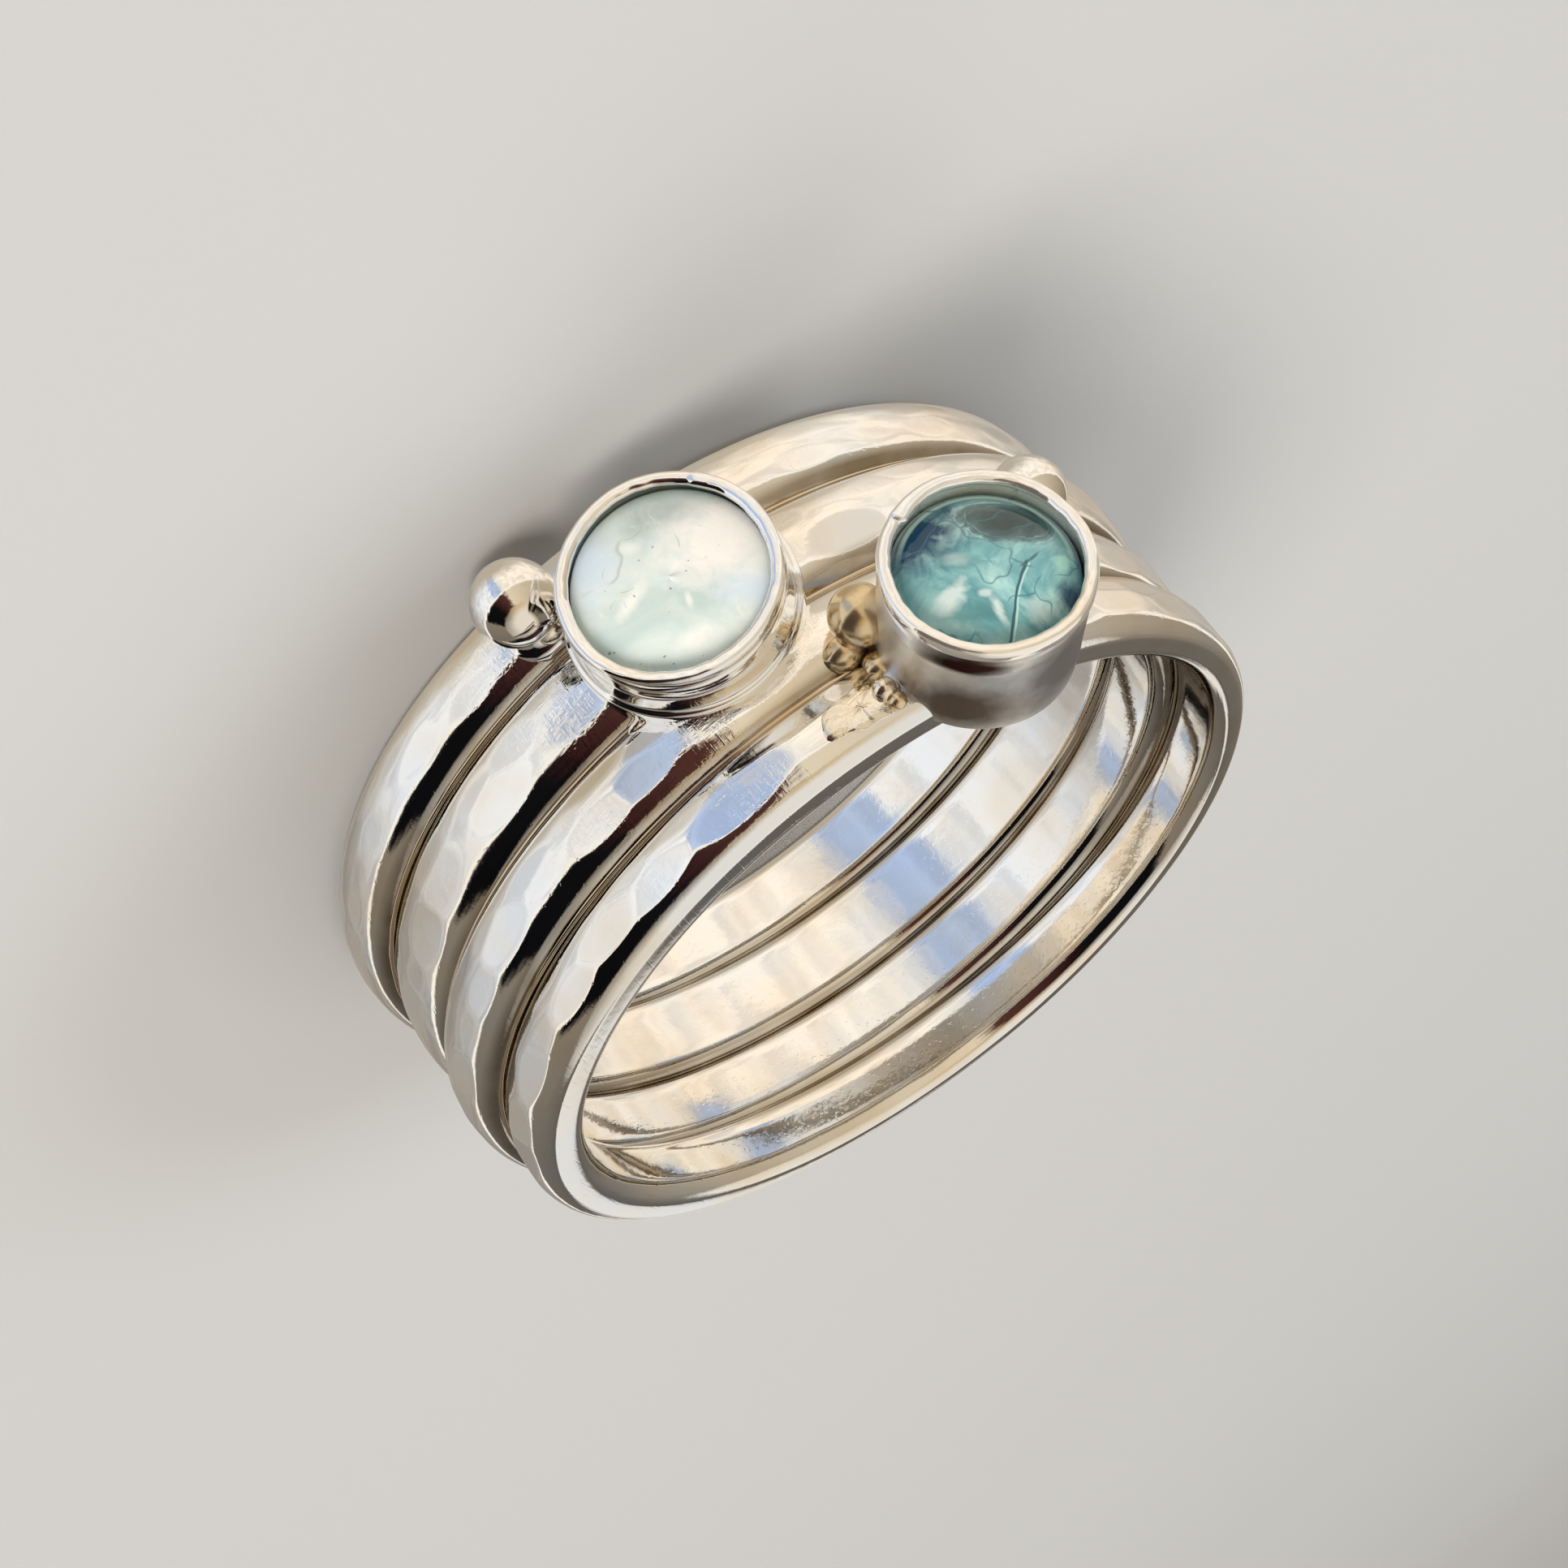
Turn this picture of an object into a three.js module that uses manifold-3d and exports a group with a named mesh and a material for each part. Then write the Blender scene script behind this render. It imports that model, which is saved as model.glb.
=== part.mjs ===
// A wide silver ring: four hammered bands soldered side by side, with a low
// moonstone and a tall teal stone in bezel cups, and three round beads.
// Millimetres. The ring lies on its side: its axis runs along +Z and the two
// stones face -Y. The origin is in the plane that the ring rests on, in the
// middle of its extent along X and along Y.
import * as THREE from 'three';
import { mergeVertices } from 'three/addons/utils/BufferGeometryUtils.js';
import Module from 'manifold-3d';

// ---- driving dimensions ----
const BORE_RADIUS = 8.75;
const CREST_RADIUS = 10.15;
const OUTER_ROUNDING = 0.5;
const INNER_ROUNDING = 0.3;
const SOLDER_OVERLAP = 0.06;
const FACETS_ROUND = 22;
const STEPS_PER_FACET = 3;
const CORNER_STEPS = 2;
const LATHE_STEPS = 32;
const STONE_GAP = 0.05;

// Each band: its width along the axis, how far it stands out of line along X,
// and how much thinner it is on the side away from the stones (+Y).
const bands = [
  { name: 'back', width: 2.02, shift: 0.33, thinning: 0.05 },
  { name: 'moon', width: 2.35, shift: 0.02, thinning: 0.05 },
  { name: 'inner', width: 1.95, shift: 0.12, thinning: 0.15 },
  { name: 'teal', width: 1.75, shift: -0.35, thinning: 0.6 },
];

// Each setting: the band it stands on, its angle round the ring, its foot's
// offset along the axis from the band's middle, its lean towards +Z and round
// the ring (degrees), and radii and heights above the band's crest.
const settings = {
  moonstone: {
    band: 'moon', angle: -95.4, offset: -0.05, lean: 4, sideLean: 0,
    rimRadius: 2.34, footRadius: 2.34, openingRadius: 2.03, cavityRadius: 2.14,
    rimHeight: 1.55, lipDepth: 0.25, floorHeight: 0.35, footDepth: 0.6,
    plateRadius: 2.5, plateHeight: 0.12, crownHeight: 1.58, edgeHeight: 1.22,
  },
  teal_stone: {
    band: 'teal', angle: -118.8, offset: -0.13, lean: 3, sideLean: 10,
    rimRadius: 2.16, footRadius: 2.1, openingRadius: 1.86, cavityRadius: 1.98,
    rimHeight: 2.46, lipDepth: 0.25, floorHeight: 1.0, footDepth: 0.5,
    plateRadius: 2.1, plateHeight: 0.0, crownHeight: 2.52, edgeHeight: 2.0,
  },
};

// Each bead: the band it stands on, its angle, its height along the axis from
// the band's middle, and its radius.
const beads = [
  { band: 'back', angle: -82.9, offset: 0.03, radius: 0.93 },
  { band: 'inner', angle: -111.0, offset: 0.53, radius: 0.62 },
  { band: 'inner', angle: -137.2, offset: -0.58, radius: 0.79 },
];
const BEAD_SINK = 0.15;
const BEAD_STEPS_ROUND = 16;
const BEAD_STEPS_HIGH = 10;

// ---- places worked out from the dimensions ----
let stacked = 0;
for (const band of bands) {
  band.bottom = stacked;
  band.middle = stacked + band.width / 2;
  stacked += band.width;
}
const bandNamed = (name) => bands.find((band) => band.name === name);

// A frame standing on a band's crest: local +Y points out of the ring, leaning
// towards +Z and round the ring by the angles given.
function crestFrame(band, angle, height, lean = 0, sideLean = 0) {
  const turn = THREE.MathUtils.degToRad(angle);
  const tilt = THREE.MathUtils.degToRad(lean);
  const sideTurn = THREE.MathUtils.degToRad(angle + sideLean);
  const position = new THREE.Vector3(
    CREST_RADIUS * Math.cos(turn) + band.shift,
    CREST_RADIUS * Math.sin(turn),
    height,
  );
  const up = new THREE.Vector3(
    Math.cos(sideTurn) * Math.cos(tilt),
    Math.sin(sideTurn) * Math.cos(tilt),
    Math.sin(tilt),
  );
  const around = new THREE.Vector3(-Math.sin(sideTurn), Math.cos(sideTurn), 0);
  const along = new THREE.Vector3().crossVectors(around, up);
  const basis = new THREE.Matrix4().makeBasis(around, up, along);
  return {
    position,
    quaternion: new THREE.Quaternion().setFromRotationMatrix(basis),
  };
}

// ---- shapes ----
// A quarter round of a band's section, from one flat to the next.
function corner(points, centreRadius, centreHeight, rounding, fromDegrees) {
  for (let i = 0; i <= CORNER_STEPS; i += 1) {
    const turn = THREE.MathUtils.degToRad(fromDegrees + (90 * i) / CORNER_STEPS);
    points.push(new THREE.Vector2(
      centreRadius + rounding * Math.cos(turn),
      centreHeight + rounding * Math.sin(turn),
    ));
  }
}

// A band: a flat-sided section with rounded corners, turned about the axis.
// Its crest is hammered into flats, and its bore stays round.
function bandGeometry(band, isLowest) {
  const low = band.bottom - (isLowest ? 0 : SOLDER_OVERLAP / 2);
  const high = band.bottom + band.width + SOLDER_OVERLAP / 2;
  const outerCentre = CREST_RADIUS - OUTER_ROUNDING;
  const innerCentre = BORE_RADIUS + INNER_ROUNDING;
  const section = [];
  corner(section, outerCentre, low + OUTER_ROUNDING, OUTER_ROUNDING, -90);
  corner(section, outerCentre, high - OUTER_ROUNDING, OUTER_ROUNDING, 0);
  corner(section, innerCentre, high - INNER_ROUNDING, INNER_ROUNDING, 90);
  corner(section, innerCentre, low + INNER_ROUNDING, INNER_ROUNDING, 180);
  section.push(section[0].clone());
  const geometry = new THREE.LatheGeometry(section, FACETS_ROUND * STEPS_PER_FACET);
  geometry.rotateX(Math.PI / 2);
  hammer(geometry, band.thinning);
  geometry.translate(band.shift, 0, 0);
  return geometry;
}

// Flattens the crest between the corners of a polygon, and thins the far side.
function hammer(geometry, thinning) {
  const place = geometry.attributes.position;
  const facetAngle = (2 * Math.PI) / FACETS_ROUND;
  for (let i = 0; i < place.count; i += 1) {
    const x = place.getX(i);
    const y = place.getY(i);
    const radius = Math.hypot(x, y);
    const turn = Math.atan2(y, x) + 2 * Math.PI;
    const fromCorner = turn % facetAngle;
    const chord = (CREST_RADIUS * Math.cos(facetAngle / 2))
      / Math.cos(fromCorner - facetAngle / 2);
    const farSide = Math.max(0, Math.sin(turn)) ** 1.5;
    const crest = chord - thinning * farSide;
    const keep = (crest - BORE_RADIUS) / (CREST_RADIUS - BORE_RADIUS);
    const flattened = BORE_RADIUS + (radius - BORE_RADIUS) * keep;
    place.setXY(i, (x * flattened) / radius, (y * flattened) / radius);
  }
}

// A bezel cup: its wall stands on a round plate, and its lip is turned in.
function cupGeometry(cup) {
  const lipMiddle = (cup.rimRadius + cup.openingRadius) / 2;
  const outline = [
    new THREE.Vector2(0, -cup.footDepth),
    new THREE.Vector2(cup.plateRadius, -cup.footDepth),
    new THREE.Vector2(cup.plateRadius, cup.plateHeight),
    new THREE.Vector2(cup.footRadius, cup.plateHeight + 0.08),
    new THREE.Vector2(cup.rimRadius, cup.rimHeight - 0.4 * cup.lipDepth),
    new THREE.Vector2(lipMiddle, cup.rimHeight),
    new THREE.Vector2(cup.openingRadius, cup.rimHeight - 0.3 * cup.lipDepth),
    new THREE.Vector2(cup.cavityRadius, cup.rimHeight - cup.lipDepth),
    new THREE.Vector2(cup.cavityRadius, cup.floorHeight),
    new THREE.Vector2(0, cup.floorHeight),
  ];
  return new THREE.LatheGeometry(outline, LATHE_STEPS);
}

// A cabochon: a short straight girdle under the lip and a domed crown.
function stoneGeometry(cup) {
  const girdle = cup.cavityRadius - STONE_GAP;
  const bottom = cup.floorHeight + STONE_GAP;
  const shoulder = cup.openingRadius - STONE_GAP;
  const crownSteps = 7;
  const outline = [
    new THREE.Vector2(0, bottom),
    new THREE.Vector2(girdle, bottom),
    new THREE.Vector2(girdle, cup.rimHeight - cup.lipDepth - 2 * STONE_GAP),
  ];
  for (let i = 0; i <= crownSteps; i += 1) {
    const turn = (Math.PI / 2) * (i / crownSteps);
    outline.push(new THREE.Vector2(
      i === crownSteps ? 0 : shoulder * Math.cos(turn),
      cup.edgeHeight + (cup.crownHeight - cup.edgeHeight) * Math.sin(turn),
    ));
  }
  return new THREE.LatheGeometry(outline, LATHE_STEPS);
}

// A bead, sunk a little into the band, with a cone of solder round its foot.
function beadGeometries(bead) {
  const ball = new THREE.SphereGeometry(bead.radius, BEAD_STEPS_ROUND, BEAD_STEPS_HIGH);
  ball.translate(0, bead.radius * (1 - BEAD_SINK), 0);
  const solderHeight = 0.75 * bead.radius;
  const solder = new THREE.CylinderGeometry(
    0.55 * bead.radius, 0.95 * bead.radius, solderHeight, BEAD_STEPS_ROUND,
  );
  solder.translate(0, solderHeight / 2 - 0.45 * bead.radius, 0);
  return [ball, solder];
}

// ---- joining ----
const wasm = await Module();
wasm.setup();

function solidFrom(geometry) {
  const bare = geometry.clone();
  bare.deleteAttribute('normal');
  bare.deleteAttribute('uv');
  const merged = mergeVertices(bare, 1e-4);
  const corners = merged.index.array;
  const triangles = [];
  for (let i = 0; i < corners.length; i += 3) {
    const [a, b, c] = [corners[i], corners[i + 1], corners[i + 2]];
    if (a !== b && b !== c && c !== a) triangles.push(a, b, c);
  }
  return new wasm.Manifold(new wasm.Mesh({
    numProp: 3,
    vertProperties: new Float32Array(merged.attributes.position.array),
    triVerts: new Uint32Array(triangles),
  }));
}

function geometryFrom(solid) {
  const mesh = solid.getMesh();
  const geometry = new THREE.BufferGeometry();
  geometry.setAttribute('position', new THREE.BufferAttribute(mesh.vertProperties, 3));
  geometry.setIndex(new THREE.BufferAttribute(mesh.triVerts, 1));
  geometry.computeVertexNormals();
  return geometry;
}

function placed(geometry, frame) {
  const copy = geometry.clone();
  copy.applyQuaternion(frame.quaternion);
  copy.translate(frame.position.x, frame.position.y, frame.position.z);
  return copy;
}

const metalPieces = bands.map((band, i) => bandGeometry(band, i === 0));
for (const cup of Object.values(settings)) {
  const band = bandNamed(cup.band);
  const height = band.middle + cup.offset;
  cup.frame = crestFrame(band, cup.angle, height, cup.lean, cup.sideLean);
  metalPieces.push(placed(cupGeometry(cup), cup.frame));
}
for (const bead of beads) {
  const band = bandNamed(bead.band);
  const frame = crestFrame(band, bead.angle, band.middle + bead.offset);
  for (const geometry of beadGeometries(bead)) {
    metalPieces.push(placed(geometry, frame));
  }
}
const metal = metalPieces
  .map(solidFrom)
  .reduce((whole, next) => whole.add(next));

// ---- materials and the finished group ----
const silver = new THREE.MeshStandardMaterial({
  color: 0xdcd8cf, roughness: 0.16, metalness: 1.0,
});
const milkyStone = new THREE.MeshStandardMaterial({
  color: 0xd5dfdb, roughness: 0.22, metalness: 0.0,
});
const tealStone = new THREE.MeshStandardMaterial({
  color: 0x4f9aa0, roughness: 0.08, metalness: 0.0,
});

const group = new THREE.Group();
const ring = new THREE.Mesh(geometryFrom(metal), silver);
ring.name = 'silver_ring';
group.add(ring);
for (const [name, material] of [['moonstone', milkyStone], ['teal_stone', tealStone]]) {
  const stone = new THREE.Mesh(stoneGeometry(settings[name]), material);
  stone.name = name;
  stone.position.copy(settings[name].frame.position);
  stone.quaternion.copy(settings[name].frame.quaternion);
  group.add(stone);
}

const extent = new THREE.Box3().setFromObject(group, true);
const middle = extent.getCenter(new THREE.Vector3());
for (const mesh of group.children) {
  mesh.position.x -= middle.x;
  mesh.position.y -= middle.y;
}

export default group;
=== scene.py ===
"""A silver ring of four hammered bands with a moonstone, a teal stone and three
beads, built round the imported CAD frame. Shapes are worked out in millimetres."""
import math

import bpy
import numpy as np
from mathutils import Matrix, Vector


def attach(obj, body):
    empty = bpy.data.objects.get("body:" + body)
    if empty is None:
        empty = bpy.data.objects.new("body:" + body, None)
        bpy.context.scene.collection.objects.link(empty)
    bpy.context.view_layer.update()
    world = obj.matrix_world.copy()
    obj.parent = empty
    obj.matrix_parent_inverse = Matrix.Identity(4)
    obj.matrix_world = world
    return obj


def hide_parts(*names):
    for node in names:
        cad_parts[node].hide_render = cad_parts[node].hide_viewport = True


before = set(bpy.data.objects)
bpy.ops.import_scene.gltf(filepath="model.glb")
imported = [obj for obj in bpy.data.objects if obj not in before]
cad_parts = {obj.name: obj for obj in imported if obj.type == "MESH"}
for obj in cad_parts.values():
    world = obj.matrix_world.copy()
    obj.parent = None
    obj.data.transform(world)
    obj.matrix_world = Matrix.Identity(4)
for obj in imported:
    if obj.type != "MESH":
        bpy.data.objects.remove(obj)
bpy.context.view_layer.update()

MM = 0.001
TAU = 2 * math.pi

# ---- the ring's dimensions, as the CAD part has them ----
RING_AXIS = (0.010, 0.9512)
BORE = 8.75
CREST = 10.15
SHOULDER = 0.55
SEAM_OVERLAP = 0.03

# Each band's low and high z, its shift along x, how much thinner it is at +y and at -x,
# its hammer facets' count round the ring, depth and tilt in degrees, the rounding of its
# inner corners, and the seed of its random draws.
BANDS = {
    "back": dict(
        low=0.0, high=2.02, shift=0.33, thin=0.05, thin_side=0.0,
        facets=30, depth=0.030, tilt=1.2, inner=0.42, seed=10,
    ),
    "moon": dict(
        low=2.02, high=4.37, shift=0.02, thin=0.05, thin_side=0.0,
        facets=34, depth=0.055, tilt=2.2, inner=0.42, seed=12,
    ),
    "inner": dict(
        low=4.37, high=6.32, shift=0.12, thin=0.15, thin_side=0.0,
        facets=40, depth=0.060, tilt=2.4, inner=0.42, seed=11,
    ),
    "teal": dict(
        low=6.32, high=8.07, shift=-0.35, thin=0.6, thin_side=0.35,
        facets=40, depth=0.070, tilt=2.6, inner=0.5, seed=13,
    ),
}
# lower band, upper band, seed
SEAMS = (("back", "moon", 401), ("moon", "inner", 441), ("inner", "teal", 540))
# The angle round the ring, the offset from the band's middle, and the lean to +z and sideways.
MOON_SETTING = dict(band="moon", angle=-95.4, offset=-0.05, lean=4, side=0)
TEAL_SETTING = dict(band="teal", angle=-118.8, offset=-0.13, lean=3, side=10)
MOON_CUP = dict(rim=2.34, foot=2.34, opening=2.03, height=1.55, plate=2.5)
TEAL_CUP = dict(rim=2.16, foot=2.10, opening=1.86, height=2.46, plate=2.10)
CUP_LIP = 0.25
BEADS = {
    "back": dict(band="back", angle=-82.9, offset=0.03, radius=0.93, foot=True, seed=21),
    "low": dict(band="inner", angle=-110.0, offset=0.46, radius=0.66, foot=False, seed=22),
    "high": dict(band="inner", angle=-138.6, offset=-0.78, radius=0.86, foot=False, seed=23),
}
BAND_STEPS = 900
SEAM_STEPS = 700
# The file marks begin at 0.68 of this distance, in mm, in front of the middle.
MARKS_REACH = 12


# ---- mesh helpers ----
def make_object(name, points, faces, material, node="silver_ring", values=None, place=None):
    """One smooth mesh; values are numbers kept at its points, place its own axes."""
    mesh = bpy.data.meshes.new(name)
    mesh.from_pydata([tuple(p) for p in np.asarray(points) * MM], [], faces)
    mesh.validate()
    mesh.polygons.foreach_set("use_smooth", [True] * len(mesh.polygons))
    for key, numbers in (values or {}).items():
        layer = mesh.attributes.new(key, "FLOAT", "POINT")
        layer.data.foreach_set("value", np.asarray(numbers, np.float32).ravel())
    mesh.update()
    thing = bpy.data.objects.new(name, mesh)
    bpy.context.scene.collection.objects.link(thing)
    if place is not None:
        thing.matrix_world = place
    thing.data.materials.append(material)
    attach(thing, "root")
    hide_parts(node)


def grid_faces(rows, columns, wrap_rows, wrap_columns):
    faces = []
    for i in range(rows if wrap_rows else rows - 1):
        j = (i + 1) % rows
        for k in range(columns if wrap_columns else columns - 1):
            m = (k + 1) % columns
            faces.append((i * columns + k, j * columns + k, j * columns + m, i * columns + m))
    return faces


def ripple(seed, count, low, high):
    """A smooth periodic bumpiness round a circle: a few sines of whole frequency."""
    random = np.random.default_rng(seed)
    waves = random.integers(low, high + 1, count)
    phases = random.uniform(0, TAU, count)
    weights = random.uniform(0.4, 1.0, count)
    total = weights.sum()

    def value(angle, across=0.0):
        result = np.zeros(np.broadcast(angle, across).shape)
        for wave, phase, weight in zip(waves, phases, weights):
            result = result + weight * np.sin(wave * angle + phase + across * (phase - math.pi))
        return result / total

    return value


# ---- bands ----
def dome_drop(across, half_width):
    """How far the crest has fallen at a distance across the band from its middle."""
    share = np.minimum(np.abs(across) / half_width, 1.0)
    return SHOULDER * (1 - np.sqrt(np.maximum(0, 1 - share ** 2.1)))


def hammered_flats(seed, count, depth, tilt, half_width):
    """Planes that the hammer left on the wire: angle, lean and distance from the axis."""
    random = np.random.default_rng(seed)
    step = TAU / count
    flats = []
    for row, spread, extra, share in ((0.10, 0.08, 1.5, 1.0), (-0.46, 0.10, 0.0, 0.55)):
        for k in range(count):
            angle = (k + 0.5 * (row < 0)) * step + random.uniform(-0.36, 0.36) * step
            across = half_width * (row + random.uniform(-spread, spread))
            slope = (dome_drop(across + 0.01, half_width) - dome_drop(across - 0.01, half_width)) / 0.02
            lean = math.atan(slope) + math.radians(extra + random.normal(0, tilt))
            cut = depth * share * random.uniform(0.3, 1.0)
            radius = CREST - dome_drop(across, half_width) - cut
            distance = radius * math.cos(lean) + across * math.sin(lean)
            # the last number is the facet's random tone, a painted reflection
            flats.append((angle, lean, distance, random.uniform(0, 1)))
    return flats


def hammered_surface(theta, z, wire, flats, sharpness=150.0):
    """The wire cut by the flats: radius, each point's tone, a painted reflection that differs from
    facet to facet, and how near an edge it is.
    """
    most = np.exp(-sharpness * (wire - CREST))
    total = most.copy()
    toned = 0.5 * most
    for angle, lean, distance, tone in flats:
        away = np.abs((theta - angle + math.pi) % TAU - math.pi)
        reach = np.cos(np.minimum(away, 0.6)) * math.cos(lean)
        radius = (distance - z * math.sin(lean)) / reach
        weight = np.where(away < 0.6, np.exp(-sharpness * (radius - CREST)), 0)
        total = total + weight
        toned = toned + tone * weight
        most = np.maximum(most, weight)
    return CREST - np.log(total) / sharpness, toned / total, 2 * (1 - most / total)


def band_section(low, high, inner):
    """Points (radius, z) round the wire's section, from the low outer corner."""
    points = []
    middle = (low + high) / 2
    half_width = (high - low) / 2
    for a in np.linspace(-90, 90, 45):
        across = half_width * math.sin(math.radians(a))
        points.append((CREST - float(dome_drop(across, half_width)), middle + across))
    for a in np.linspace(90, 180, 9):
        t = math.radians(a)
        points.append((BORE + inner + inner * math.cos(t), high - inner + inner * math.sin(t)))
    for s in np.linspace(1, -1, 9)[1:-1]:
        points.append((BORE, middle + s * ((high - low) / 2 - inner)))
    for a in np.linspace(180, 270, 9):
        t = math.radians(a)
        points.append((BORE + inner + inner * math.cos(t), low + inner + inner * math.sin(t)))
    return np.array(points)


def build_band(name, material):
    band = BANDS[name]
    seed = band["seed"]
    low = band["low"] - (SEAM_OVERLAP if band["low"] > 0 else 0)
    high = band["high"] + (SEAM_OVERLAP if name != "teal" else 0)
    section = band_section(low, high, band["inner"])
    theta = np.linspace(0, TAU, BAND_STEPS, endpoint=False)[:, None]
    radius = section[None, :, 0]
    z = np.repeat(section[None, :, 1], BAND_STEPS, axis=0)
    middle = (low + high) / 2
    flats = hammered_flats(seed, band["facets"], band["depth"], band["tilt"], (high - low) / 2)
    wire = radius + np.zeros_like(z)
    outer, tone, edge = hammered_surface(theta, z - middle, wire, flats)
    far = np.maximum(0, np.sin(theta)) ** 1.5
    share = np.clip((radius - BORE) / (CREST - BORE), 0, 1)
    radius = np.where(share > 0.35, outer, wire)
    tone = np.where(share > 0.35, tone, 0.5)
    edge = np.where(share > 0.35, edge, 0.0)
    beside = np.maximum(0, -np.cos(theta)) ** 2
    radius = radius - share * (band["thin"] * far + band["thin_side"] * beside)
    # painted shade in the grooves, widest by the stones
    nearness = (z - middle) / ((high - low) / 2)
    by_stones = 0.26 * np.exp(-((theta - math.radians(235)) / 0.5) ** 2)
    upper = np.clip((nearness - 0.76 + by_stones) / 0.2, 0, 1) * (name != "teal")
    lower = np.clip((-nearness - 0.76) / 0.2, 0, 1) * (name != "back")
    groove = np.maximum(upper, lower)
    crinkle = ripple(seed + 40, 14, 3, 26)
    radius = radius + (1 - share) * 0.0035 * crinkle(theta, 2.2 * (z - middle))
    wander = ripple(seed + 70, 6, 2, 9)
    z = z + (z > 0.3) * 0.018 * wander(theta) * share
    x = radius * np.cos(theta) + band["shift"] + RING_AXIS[0]
    y = radius * np.sin(theta) + RING_AXIS[1]
    points = np.stack([x, y, z], axis=2).reshape(-1, 3)
    faces = grid_faces(BAND_STEPS, section.shape[0], True, True)
    values = {"tone": tone, "edge": edge, "groove": groove}
    make_object("band_" + name, points, faces, material, values=values)


def build_seam(lower, upper, seed, material):
    """The thread of solder in the groove between two bands, outside and inside."""
    a, b = BANDS[lower], BANDS[upper]
    shift = (a["shift"] + b["shift"]) / 2
    sides = 10
    theta = np.linspace(0, TAU, SEAM_STEPS, endpoint=False)[:, None]
    around = np.linspace(0, TAU, sides, endpoint=False)[None, :]
    bumps = ripple(seed, 10, 6, 70)(theta)
    far = np.maximum(0, np.sin(theta)) ** 1.5
    points, faces = [], []
    for radius, thick in ((CREST - SHOULDER + 0.17, 0.075), (BORE + 0.36, 0.06)):
        thin = (a["thin"] + b["thin"]) / 2 * far * (radius - BORE) / (CREST - BORE)
        r = radius - thin + thick * (1 + 0.25 * bumps) * np.cos(around)
        z = a["high"] + 0.012 * bumps + thick * np.sin(around)
        x = r * np.cos(theta) + shift + RING_AXIS[0]
        y = r * np.sin(theta) + RING_AXIS[1]
        start = sum(len(p) for p in points)
        points.append(np.stack([x, y, z], axis=2).reshape(-1, 3))
        faces += [tuple(i + start for i in f) for f in grid_faces(SEAM_STEPS, sides, True, True)]
    make_object("seam_" + lower, np.concatenate(points), faces, material)


# ---- settings and beads ----
def standing_frame(place):
    band = BANDS[place["band"]]
    turn = math.radians(place["angle"])
    lean = math.radians(place.get("lean", 0))
    side = math.radians(place["angle"] + place.get("side", 0))
    origin = np.array([
        CREST * math.cos(turn) + band["shift"] + RING_AXIS[0],
        CREST * math.sin(turn) + RING_AXIS[1],
        (band["low"] + band["high"]) / 2 + place["offset"],
    ])
    up = np.array([math.cos(side) * math.cos(lean), math.sin(side) * math.cos(lean), math.sin(lean)])
    around = np.array([-math.sin(side), math.cos(side), 0.0])
    along = np.cross(around, up)
    return origin, around, up, along


def turned(name, place, profile, change, material, node="silver_ring", steps=240):
    """A surface turned round a standing axis; change(phi, rho, h) makes it uneven."""
    origin, around, up, along = standing_frame(place)
    profile = np.array(profile)
    phi = np.linspace(0, TAU, steps, endpoint=False)[:, None]
    rho = np.repeat(profile[None, :, 0], steps, axis=0)
    h = np.repeat(profile[None, :, 1], steps, axis=0)
    rho, h = change(phi, rho, h)
    points = np.stack([rho * np.cos(phi), h, rho * np.sin(phi)], axis=2)
    axes = np.stack([around, up, along], axis=1)
    rows = [(*row, offset * MM) for row, offset in zip(axes, origin)]
    own_axes = Matrix(rows + [(0, 0, 0, 1)])
    faces = [face[::-1] for face in grid_faces(steps, profile.shape[0], True, False)]
    make_object(name, points.reshape(-1, 3), faces, material, node, place=own_axes)


def smooth_profile(corners, spacing=0.05):
    """Rounds a polyline of (rho, h, rounding) corners and samples it evenly."""
    out = []
    for i, (rho, h, rounding) in enumerate(corners):
        here = np.array([rho, h], float)
        if rounding <= 0 or i in (0, len(corners) - 1):
            out.append(here)
            continue
        before = np.array(corners[i - 1][:2], float) - here
        after = np.array(corners[i + 1][:2], float) - here
        a = here + before / np.linalg.norm(before) * min(rounding, 0.48 * np.linalg.norm(before))
        b = here + after / np.linalg.norm(after) * min(rounding, 0.48 * np.linalg.norm(after))
        for t in np.linspace(0, 1, 9):
            out.append((1 - t) ** 2 * a + 2 * t * (1 - t) * here + t ** 2 * b)
    result = [out[0]]
    for p in out[1:]:
        gap = np.linalg.norm(p - result[-1])
        if gap < 1e-4:
            continue
        pieces = max(1, int(gap / spacing))
        last = result[-1]
        for k in range(1, pieces + 1):
            result.append(last + (p - last) * k / pieces)
    return result


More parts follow.
